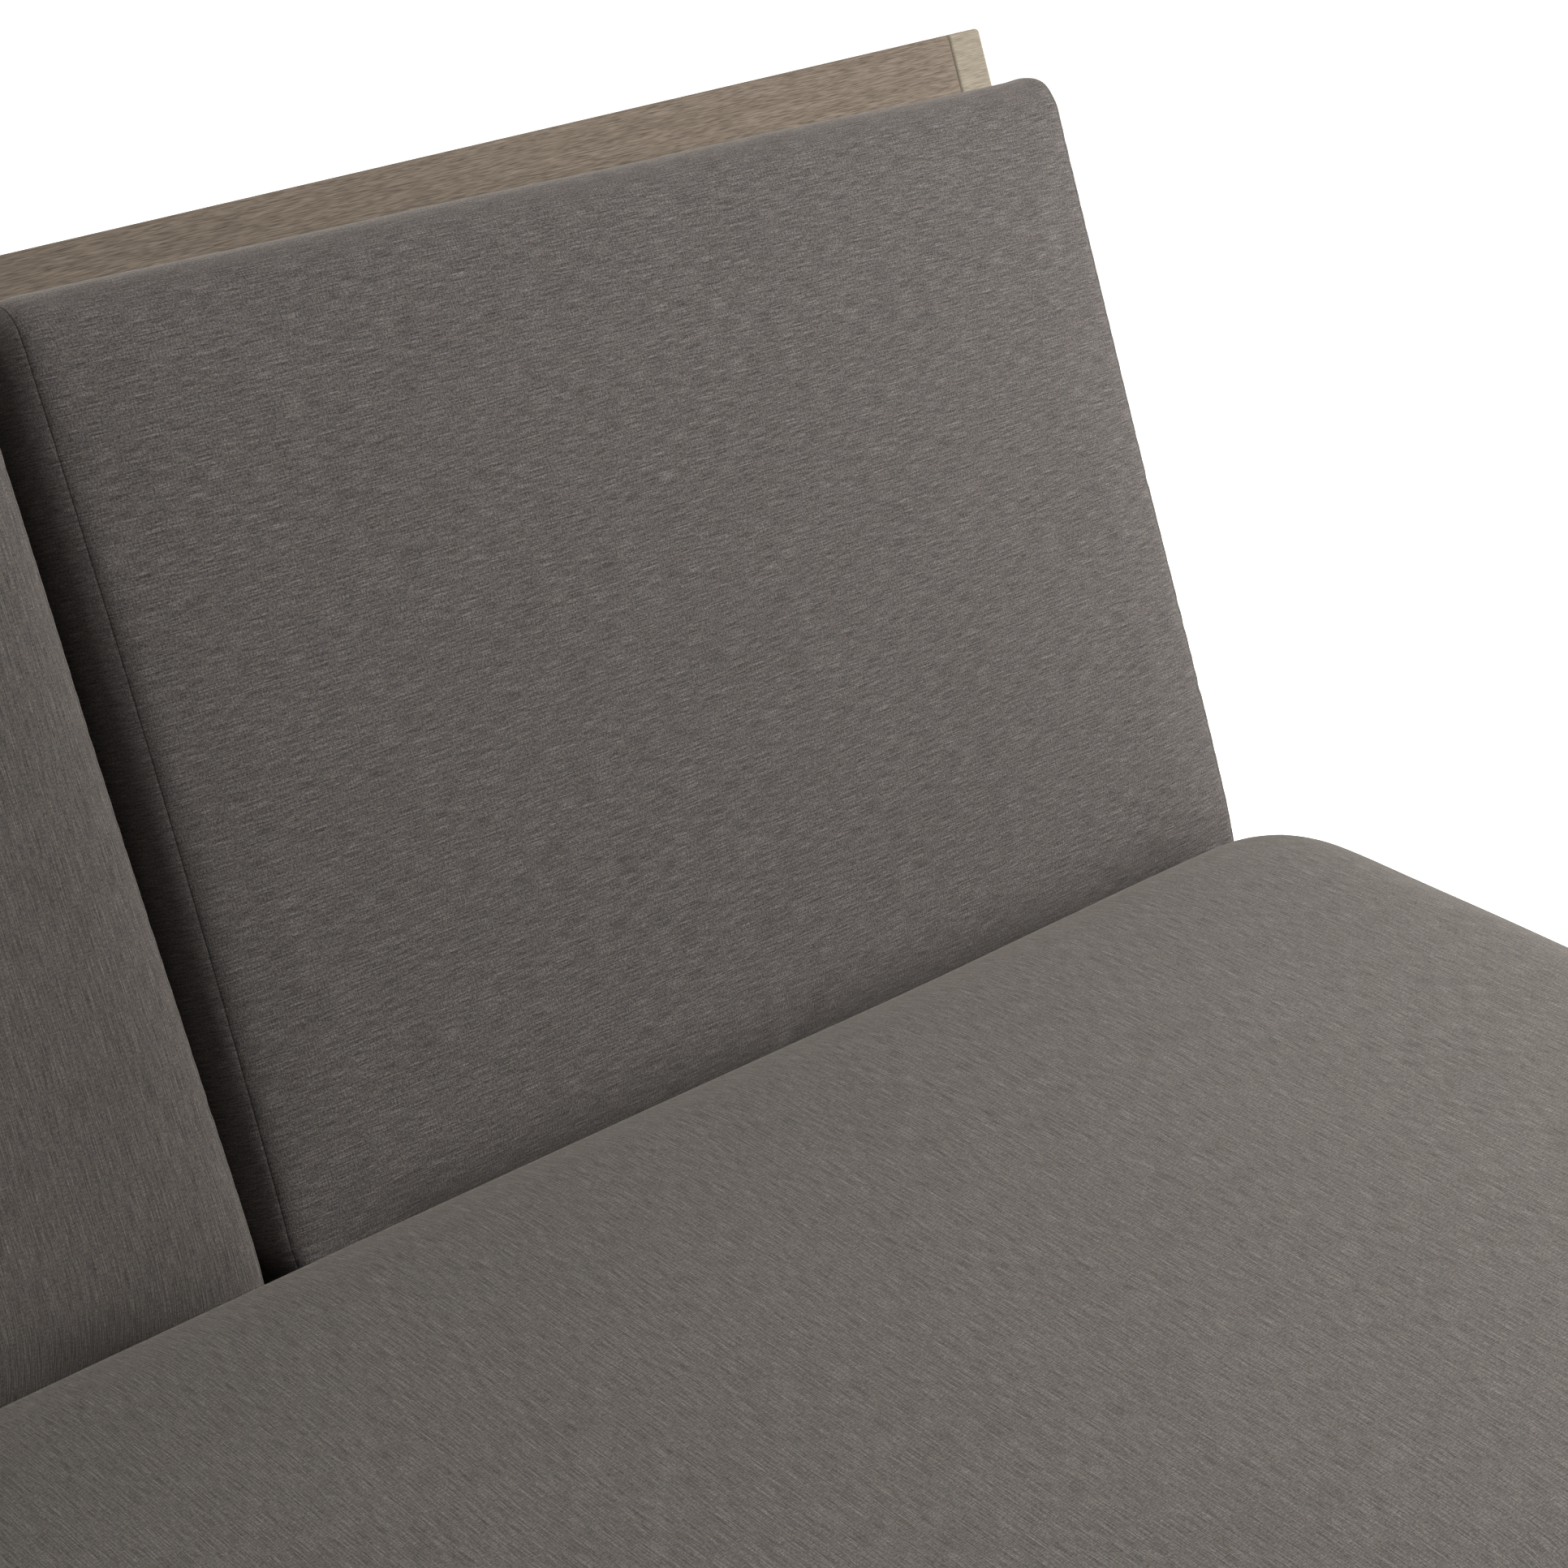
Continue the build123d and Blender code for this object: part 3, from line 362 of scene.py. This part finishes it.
def cushion_block(name, low, high, grid, axis, corners, rolls, weft_axis, seams):
    bm = bmesh.new()
    bmesh.ops.create_cube(bm, size=1.0)
    stretch = Matrix.Translation((low + high) / 2) @ Matrix.Diagonal((*(high - low), 1.0))
    bmesh.ops.transform(bm, verts=bm.verts, matrix=stretch)
    for k in range(3):
        cut_along(bm, k, round((high[k] - low[k]) / grid) - 1)
    bm.normal_update()
    lay_cloth(bm, high[2], weft_axis)
    # The seam lines are marked in the attribute that later carries the seams' painted shade.
    sewn = bm.verts.layers.float.new("seam_painted_shade")
    for seam_place in seams:
        line = min((v.co[axis] for v in bm.verts), key=lambda place: abs(place - seam_place))
        for edge in bm.edges:
            turns = {facing(f) for f in edge.link_faces}
            if turns != {axis} and all(abs(v.co[axis] - line) < SAME_PLACE for v in edge.verts):
                for vert in edge.verts:
                    vert[sewn] = 1.0
    points = np.array([v.co for v in bm.verts])
    for vert, place in zip(bm.verts, soften(points, np.array(low), np.array(high), axis, corners, rolls)):
        vert.co = place
    mesh = bpy.data.meshes.new(name)
    bm.to_mesh(mesh)
    bm.free()
    cushion = bpy.data.objects.new(name, mesh)
    scene.collection.objects.link(cushion)
    print(name, "starts with", len(mesh.vertices), "points")
    return cushion


# %% [markdown]
# Foam is cut fuller in the middle than at its edges, so the block's face is raised in a
# shallow dome that fades out towards the sides. Reading and writing all points at once as an
# array makes such moves quick.

# %% Shaping
def points_of(mesh):
    co = np.empty(len(mesh.vertices) * 3)
    mesh.vertices.foreach_get("co", co)
    return co.reshape(-1, 3)


def normals_of(mesh):
    normals = np.empty(len(mesh.vertices) * 3)
    mesh.vertices.foreach_get("normal", normals)
    return normals.reshape(-1, 3)


def set_points(mesh, points):
    mesh.vertices.foreach_set("co", points.astype(np.float32).ravel())
    mesh.update()


def dome(points, low, high, rise, sharpness):
    across = np.abs(2 * (points[:, 0] - (low[0] + high[0]) / 2) / (high[0] - low[0])) ** sharpness[0]
    along = np.abs(2 * (points[:, 1] - (low[1] + high[1]) / 2) / (high[1] - low[1])) ** sharpness[1]
    share = (points[:, 2] - low[2]) / (high[2] - low[2])
    points[:, 2] += rise * np.clip(1 - across, 0, 1) * np.clip(1 - along, 0, 1) * share


# %% [markdown]
# Filling the cover is a cloth simulation: pressure inside, no gravity, twenty frames. The
# swelling is measured along each point's normal, capped, and only a share of it is kept,
# because foam holds the real cushion's size. The face that rests on the slats stays flat.

# %% Filling by simulation
FILL_FRAMES = 20
FILL_PRESSURE = 4.0
FOAM_CAP = 24 * MM
FOAM_SINK = 6 * MM
FOAM_GIVE = 0.14


def fill_with_foam(cushion, rest_face):
    start = points_of(cushion.data)
    filled = start.copy()
    cloth = cushion.modifiers.new("filling", "CLOTH")
    cloth.settings.quality = 4
    cloth.settings.mass = 0.3
    cloth.settings.use_pressure = True
    cloth.settings.uniform_pressure_force = FILL_PRESSURE
    cloth.settings.effector_weights.gravity = 0.0
    cloth.collision_settings.use_collision = False
    for step in range(1, FILL_FRAMES + 1):
        scene.frame_set(step)
    filled = points_of(cushion.evaluated_get(bpy.context.evaluated_depsgraph_get()).data)
    cushion.modifiers.remove(cloth)
    scene.frame_set(1)
    normals = normals_of(cushion.data)
    swell = np.einsum("ij,ij->i", filled - start, normals)
    filled = start + normals * (np.clip(swell, -FOAM_SINK, FOAM_CAP) * FOAM_GIVE)[:, None]
    filled[:, 2] = np.maximum(filled[:, 2], rest_face)
    set_points(cushion.data, filled)
    print(cushion.name, "swells by up to", round(swell.max() / MM, 1), "mm in the simulation")


# %% [markdown]
# After the filling, one round of subdivision smooths the cloth, and a slow noise makes the
# panels a little uneven, as a cover that has been sat on is.

# %% Smoothing and settling
def smooth_once(cushion):
    finer = cushion.modifiers.new("finer", "SUBSURF")
    finer.levels = finer.render_levels = 1
    mesh = bpy.data.meshes.new_from_object(cushion.evaluated_get(bpy.context.evaluated_depsgraph_get()))
    cushion.modifiers.clear()
    old, cushion.data = cushion.data, mesh
    bpy.data.meshes.remove(old)


def settle(cushion, size, height):
    points = points_of(cushion.data)
    uneven = np.array([noise.noise(Vector(p) / size) for p in points])
    set_points(cushion.data, points + normals_of(cushion.data) * (uneven * height)[:, None])


# %% [markdown]
# Sewing comes last, so that the seam stays narrow. The sewn edge is bevelled into a channel,
# its middle is drawn in by the stitches and darkened with painted shade for the channel's
# shadow, the cloth beside it stands up as a low ridge, and shallow puckers run out of it every
# few stitches.

# %% Sewing
CHANNEL = 0.5 * MM
DRAW_IN = 0.15 * MM
RIDGE = 0.15 * MM
PUCKER = 0.4 * MM
SEAM_FADE = 9 * MM
SEAM_REACH = 45 * MM
STITCH_PITCH = 12 * MM
PUCKERS_PER_METRE = 60


def seam_relief(spot, away):
    along = spot.x + spot.y + spot.z
    waves = 0.5 + 0.5 * math.cos(2 * math.pi * along / STITCH_PITCH)
    uneven = 0.4 + noise.noise(spot * PUCKERS_PER_METRE) ** 2 * 4
    pucker = PUCKER * waves * math.exp(-away / SEAM_FADE) * uneven
    return RIDGE * math.exp(-(away / SEAM_FADE) ** 2) - pucker


def sew_edges(cushion):
    bm = bmesh.new()
    bm.from_mesh(cushion.data)
    sewn = bm.verts.layers.float["seam_painted_shade"]
    line = [e for e in bm.edges if all(v[sewn] > 0.99 for v in e.verts)]
    stitched = [v.co.copy() for v in dict.fromkeys(v for e in line for v in e.verts)]
    for vert in bm.verts:
        vert[sewn] = 0.0
    channel = bmesh.ops.bevel(bm, geom=line, offset=CHANNEL, offset_type="OFFSET", segments=2,
                              profile=0.5, affect="EDGES", material=-1)
    bm.normal_update()
    nearest = kdtree.KDTree(len(stitched))
    for i, spot in enumerate(stitched):
        nearest.insert(spot, i)
    nearest.balance()
    channel_faces = set(channel["faces"])
    drawn = {v for v in channel["verts"] if all(f in channel_faces for f in v.link_faces)}
    moves = []
    for vert in bm.verts:
        spot, _, away = nearest.find(vert.co)
        # Points in the channel's middle get the full painted shade, for the channel's shadow.
        if vert in drawn:
            vert[sewn] = 1.0
            moves.append((vert, vert.normal * -DRAW_IN))
        elif away <= SEAM_REACH:
            moves.append((vert, vert.normal * seam_relief(spot, away)))
    for vert, move in moves:
        vert.co += move
    bm.to_mesh(cushion.data)
    bm.free()
    print(cushion.name, "sewn along", len(line), "edges; drawn in at", len(drawn), "points")


# %% [markdown]
# A finished cushion gets smooth shading and its cloth, rides on the body that carries it, and
# stands for the imported node that has its place.

# %% Dressing
def dress(cushion, cover, body, node):
    cushion.data.polygons.foreach_set("use_smooth", [True] * len(cushion.data.polygons))
    cushion.data.materials.append(cover)
    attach(cushion, body)
    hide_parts(node)
    print(cushion.name, "has", len(cushion.data.polygons), "faces and rides on", body)


# %% [markdown]
# The back leans on a hinge line above the rear of the seat. Its cushions are easiest to
# shape upright, with height along Y and the front face along Z, and are then turned to lean
# with the frame, so that the finished mesh is in place and its object stays at the origin.
# The top edge is raised along a crest, and the foot is tucked back, so that it meets the seat
# in a round crease and closes the view to the floor.

# %% One back cushion
LEAN = math.radians(21.8)
HINGE = Vector((0.0, 158.0, 361.0)) * MM
up_back = Vector((0.0, math.sin(LEAN), math.cos(LEAN)))
out_back = Vector((0.0, -math.cos(LEAN), math.sin(LEAN)))
lean_turn = Matrix.Translation(HINGE) @ Matrix((Vector((1, 0, 0)), up_back, out_back)).transposed().to_4x4()
back_low, back_top = -14 * MM, 462 * MM
back_face, face_edge, face_rise = -60.7 * MM, 34 * MM, 9 * MM
BACK_CORNERS = (46 * MM, 20 * MM, 24 * MM)
CREST_FROM = 250 * MM
FOOT_TUCK, TUCK_TOP = 15 * MM, 48 * MM
TUCK_FADE = (-30 * MM, 80 * MM)
BACK_DOME = (3.0, 2.5)
BACK_WAVE, BACK_WAVE_HEIGHT = 160 * MM, 1.2 * MM


def back_cushion(name, x_low, x_high, grid, end_rolls, seam_insets, weft_axis, crest, shape):
    low = Vector((x_low, back_low, back_face))
    high = Vector((x_high, back_top, face_edge))
    seams = (x_low + seam_insets[0], x_high - seam_insets[1])
    rolls = [(r, r) for r in end_rolls]
    cushion = cushion_block(name, low, high, grid, 0, BACK_CORNERS, rolls, weft_axis, seams)
    points = points_of(cushion.data)
    dome(points, low, high, face_rise, BACK_DOME)
    across = (points[:, 0] - x_low) / (x_high - x_low)
    crest_rise = crest[0] + (crest[1] - crest[0]) * across
    points[:, 1] += crest_rise * ease(points[:, 1], CREST_FROM, back_top)
    tuck = (1 - ease(points[:, 1], back_low, TUCK_TOP)) * ease(points[:, 2], back_face, face_edge)
    from_ends = np.minimum(points[:, 0] - x_low, x_high - points[:, 0])
    points[:, 2] -= FOOT_TUCK * tuck * ease(from_ends, *TUCK_FADE)
    shape(points)
    set_points(cushion.data, points)
    fill_with_foam(cushion, back_face)
    smooth_once(cushion)
    settle(cushion, BACK_WAVE, BACK_WAVE_HEIGHT)
    sew_edges(cushion)
    cushion.data.transform(lean_turn)
    return cushion


# %% [markdown]
# Where the two back cushions meet, the centre hinge stands between them, so each foot has a
# dent that clears it. Beside the hinge the short cushion's end swells out a little and is
# drawn in at mid height, and its far top corner stands up where the sewn edge turns.

# %% The short back cushion
short_left, short_right = 272 * MM, 930 * MM
SPLIT_REACH = 48 * MM
PIVOT_ROOM = 34 * MM
SHORT_DENT, BULGE, WAIST = 12 * MM, 2 * MM, 3 * MM
CORNER_LIFT, CORNER_PLACE, CORNER_WIDTH = 1.2 * MM, 922 * MM, 5 * MM


def hinge_dent(points, split_side):
    beside_hinge = 1 - ease(points[:, 1], 16 * MM, PIVOT_ROOM)
    at_pivot = np.clip(1 - (points[:, 2] / PIVOT_ROOM) ** 2, 0, 1)
    return beside_hinge * at_pivot * split_side


def side_bulge(points):
    inside = np.clip(1 - ((points[:, 2] + 15 * MM) / (38 * MM)) ** 2, 0, 1)
    return inside * ease(points[:, 1], 30 * MM, 70 * MM) * (1 - ease(points[:, 1], 380 * MM, 450 * MM))


def shape_short(points):
    split_side = 1 - ease(points[:, 0], short_left, short_left + SPLIT_REACH)
    points[:, 0] += SHORT_DENT * hinge_dent(points, split_side)
    points[:, 0] -= BULGE * side_bulge(points) * split_side
    points[:, 0] += WAIST * np.sin(np.pi * np.clip(points[:, 1] / back_top, 0, 1)) * split_side
    at_end = np.exp(-((points[:, 0] - CORNER_PLACE) / CORNER_WIDTH) ** 2)
    at_top = ease(points[:, 1], 430 * MM, back_top) * ease(points[:, 2], -10 * MM, 20 * MM)
    points[:, 1] += CORNER_LIFT * at_end * at_top


right_cushion = back_cushion("right_back_pillow", short_left, short_right, 6 * MM, (22 * MM, 9 * MM),
                             (13 * MM, 5 * MM), 0, (16 * MM, 2 * MM), shape_short)
dress(right_cushion, short_back_cover, "right_back", "right_back_cushion")

# %% [markdown]
# The long cushion's cover is cut along the roll, so its slubs stand upright. Its face comes
# forward and its split end leans to the right towards the foot, as a heavy cushion sags, and
# only as far as the other section's swing allows.

# %% The long back cushion
long_left, long_right = -930 * MM, 265 * MM
FLARE_REACH = 95 * MM
SAG_TOP, SAG_POWER = 410 * MM, 1.35
LEAN_OUT, FOOT_OUT = 5 * MM, 3.5 * MM
SAG, FOOT_IN = 10 * MM, 8 * MM
LONG_DENT = 14 * MM


def shape_long(points):
    near_split = ease(points[:, 0], long_right - FLARE_REACH, long_right)
    low_down = np.clip(1 - points[:, 1] / SAG_TOP, 0, 1) ** SAG_POWER
    at_foot = 1 - ease(points[:, 1], 10 * MM, 70 * MM)
    front = ease(points[:, 2], back_face, face_edge)
    points[:, 0] += (LEAN_OUT * low_down + FOOT_OUT * at_foot) * near_split * front
    points[:, 2] += (SAG * low_down - FOOT_IN * at_foot) * front
    behind_face = 1 - ease(points[:, 2], 0.0, face_edge)
    points[:, 0] -= LONG_DENT * hinge_dent(points, near_split) * behind_face


left_cushion = back_cushion("left_back_pillow", long_left, long_right, 8 * MM, (12 * MM, 12 * MM),
                            (0.0, 0.0), 1, (8 * MM, 8 * MM), shape_long)
dress(left_cushion, long_back_cover, "left_back", "left_back_cushion")

# %% [markdown]
# The seat is one long cushion. Its top wraps over all four sides in a wide soft roll, so no
# seam shows from above; the sewn edge runs round the bottom. Its slubs lie front to back.

# %% Seat cushion
seat_low = Vector((-962, -426, 300.3)) * MM
seat_high = Vector((962, 137, 400.0)) * MM
SEAT_CORNERS = (60 * MM, 60 * MM, 60 * MM)
BOTTOM_ROLL, TOP_ROLL = (16 * MM, 16 * MM), (42 * MM, 18 * MM)
SEAT_RISE, SEAT_DOME = 14 * MM, (30.0, 4.5)
SEAT_WAVE, SEAT_WAVE_HEIGHT = 190 * MM, 1.5 * MM
seat = cushion_block("seat_pillow", seat_low, seat_high, 10 * MM, 2, SEAT_CORNERS,
                     (BOTTOM_ROLL, TOP_ROLL), 1, (seat_low.z,))
seat_points = points_of(seat.data)
dome(seat_points, seat_low, seat_high, SEAT_RISE, SEAT_DOME)
set_points(seat.data, seat_points)
fill_with_foam(seat, seat_low.z)
smooth_once(seat)
settle(seat, SEAT_WAVE, SEAT_WAVE_HEIGHT)
sew_edges(seat)
dress(seat, seat_cover, "base", "seat_cushion")

# %% [markdown]
# The frame is plantation hardwood under a grey wash: pigment wiped across the boards, dark
# in the pores and thin over the pale ridges. Grain runs along each board, so the same recipe
# is turned for boards that run across or deep, and for the legs, which stand upright. The
# wash is matt, so it shows short dark flecks in calm bands and hardly any shine.

# %% Grey-washed hardwood
GRAIN_WIDTH = 0.5 * MM
GRAIN_RUN = 15 * MM

# Each grain pattern: the length and width of its marks, then the noise's detail and roughness.
GRAINS = {
    "bands": (17 * GRAIN_RUN, 17 * GRAIN_WIDTH, 2.0, 0.5),
    "fine": (GRAIN_RUN, GRAIN_WIDTH, 2.0, 0.55),
    "pores": (9 * MM, 0.45 * MM, 1.0, 0.6),
}
WASH_STOPS = (0.3, 0.52, 0.75)
BAND_SHARE = 0.3


def washed_wood(name, turn, colours, pore_share):
    finish, tree = new_finish(name)
    place = put(tree, "ShaderNodeTexCoord").outputs["Object"]
    turned = put(tree, "ShaderNodeMapping", {"Vector": place, "Rotation": turn}).outputs[0]
    grain = {}
    for kind, (along, across, detail, roughness) in GRAINS.items():
        drawn_out = put(tree, "ShaderNodeMapping", {
            "Vector": turned, "Scale": (1 / along, 1 / across, 1 / across)})
        noise_node = put(tree, "ShaderNodeTexNoise", {
            "Vector": drawn_out.outputs[0], "Scale": 1.0, "Detail": detail, "Roughness": roughness})
        grain[kind] = noise_node.outputs[0]
    wash = put(tree, "ShaderNodeValToRGB", {0: grain["fine"]}, stops=tuple(zip(WASH_STOPS, colours)))
    bands = put(tree, "ShaderNodeValToRGB", {0: grain["bands"]}, stops=((0.3, "#5c5c5c"), (0.7, "#a6a6a6")))
    pores = put(tree, "ShaderNodeValToRGB", {0: grain["pores"]}, stops=((0.30, "#766c63"), (0.56, "#ffffff")))
    banded = put(tree, "ShaderNodeMix", {0: BAND_SHARE, 6: wash.outputs[0], 7: bands.outputs[0]},
                 data_type="RGBA", blend_type="SOFT_LIGHT")
    colour = put(tree, "ShaderNodeMix", {0: pore_share, 6: banded.outputs[2], 7: pores.outputs[0]},
                 data_type="RGBA", blend_type="MULTIPLY")
    bump = put(tree, "ShaderNodeBump", {"Strength": 0.25, "Distance": 0.3 * MM, "Height": grain["pores"]})
    matt = put(tree, "ShaderNodeMapRange", {0: grain["fine"], 3: 0.72, 4: 0.9})
    wood = put(tree, "ShaderNodeBsdfPrincipled", {
        "Base Color": colour.outputs[2], "Roughness": matt.outputs[0], "Specular IOR Level": 0.15,
        "Normal": bump.outputs[0]})
    put(tree, "ShaderNodeOutputMaterial", {0: wood.outputs[0]})
    return finish


grey_wash = ("#6a5f52", "#7b6f63", "#8c8073")
pale_wash = ("#877e6f", "#918879", "#9b9182")
GREY_PORES, PALE_PORES = 0.55, 0.4
QUARTER = math.pi / 2
along_x, along_y, along_z = (0.0, 0.0, 0.0), (0.0, 0.0, -QUARTER), (0.0, QUARTER, 0.0)
wood_across = washed_wood("grey_washed_wood_across", along_x, grey_wash, GREY_PORES)
wood_deep = washed_wood("grey_washed_wood_deep", along_y, grey_wash, GREY_PORES)
wood_upright = washed_wood("grey_washed_wood_upright", along_z, grey_wash, GREY_PORES)
pale_wood = washed_wood("pale_washed_wood", along_x, pale_wash, PALE_PORES)

# %% [markdown]
# The fittings are plain trade parts. Hinge plates and pawls are mild steel under black
# powder coat, which dries to a fine orange peel. Bolts and screws are zinc plated and look
# bright and slightly cloudy, springs are drawn wire with a sharper gleam, and bushes, glides
# and pads are nylon, polyethylene and rubber, from half gloss to matt.

# %% Fittings
def fitting(name, hex_low, hex_high, grit, metallic, roughness, height):
    finish, tree = new_finish(name)
    place = put(tree, "ShaderNodeTexCoord").outputs["Object"]
    speck = put(tree, "ShaderNodeTexNoise", {
        "Vector": place, "Scale": 1 / grit, "Detail": 3.0, "Roughness": 0.55}).outputs[0]
    colour = put(tree, "ShaderNodeValToRGB", {0: speck}, stops=((0.3, hex_low), (0.7, hex_high)))
    gloss = put(tree, "ShaderNodeMapRange", {0: speck, 3: roughness - 0.08, 4: roughness + 0.1})
    bump = put(tree, "ShaderNodeBump", {"Strength": 0.3, "Distance": height, "Height": speck})
    skin = put(tree, "ShaderNodeBsdfPrincipled", {
        "Base Color": colour.outputs[0], "Metallic": metallic, "Roughness": gloss.outputs[0],
        "Normal": bump.outputs[0]})
    put(tree, "ShaderNodeOutputMaterial", {0: skin.outputs[0]})
    return finish


powder_coat = fitting("black_powder_coat", "#232324", "#313132", 1.6 * MM, 0.0, 0.5, 0.15 * MM)
zinc = fitting("zinc_plate", "#a4a6a8", "#c6c8c9", 3 * MM, 1.0, 0.34, 0.03 * MM)
spring_wire = fitting("drawn_spring_wire", "#83868a", "#a2a5a8", 2 * MM, 1.0, 0.3, 0.02 * MM)
nylon = fitting("black_nylon", "#1d1d1e", "#29292a", 1.2 * MM, 0.0, 0.42, 0.05 * MM)
polyethylene = fitting("brown_polyethylene", "#3a332d", "#473f38", 1.4 * MM, 0.0, 0.5, 0.05 * MM)
rubber = fitting("black_rubber", "#1b1b1b", "#262626", 0.9 * MM, 0.0, 0.72, 0.08 * MM)

# %% [markdown]
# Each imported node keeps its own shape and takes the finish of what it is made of. The rule
# reads the node's name, in the maker's words, from the most particular to the most general.
# The three packed cushions match no rule: they are hidden behind the soft ones made above.

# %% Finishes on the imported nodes
rules = (
    (("spring",), spring_wire),
    (("pawl_pin", "bolt", "nut", "screw"), zinc),
    (("bush",), nylon),
    (("glide",), polyethylene),
    (("rest_pad",), rubber),
    (("plate", "pawl", "bracket", "arm"), powder_coat),
    (("outer_stile", "inner_stile", "middle_stile"), pale_wood),
    (("leg",), wood_upright),
    (("side_rail", "bearer", "cleat"), wood_deep),
    (("rail", "slats"), wood_across),
)
for node_name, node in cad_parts.items():
    for words, finish in rules:
        if any(word in node_name for word in words):
            node.data.materials.clear()
            node.data.materials.append(finish)
            break
    else:
        print("no finish rule for", node_name)
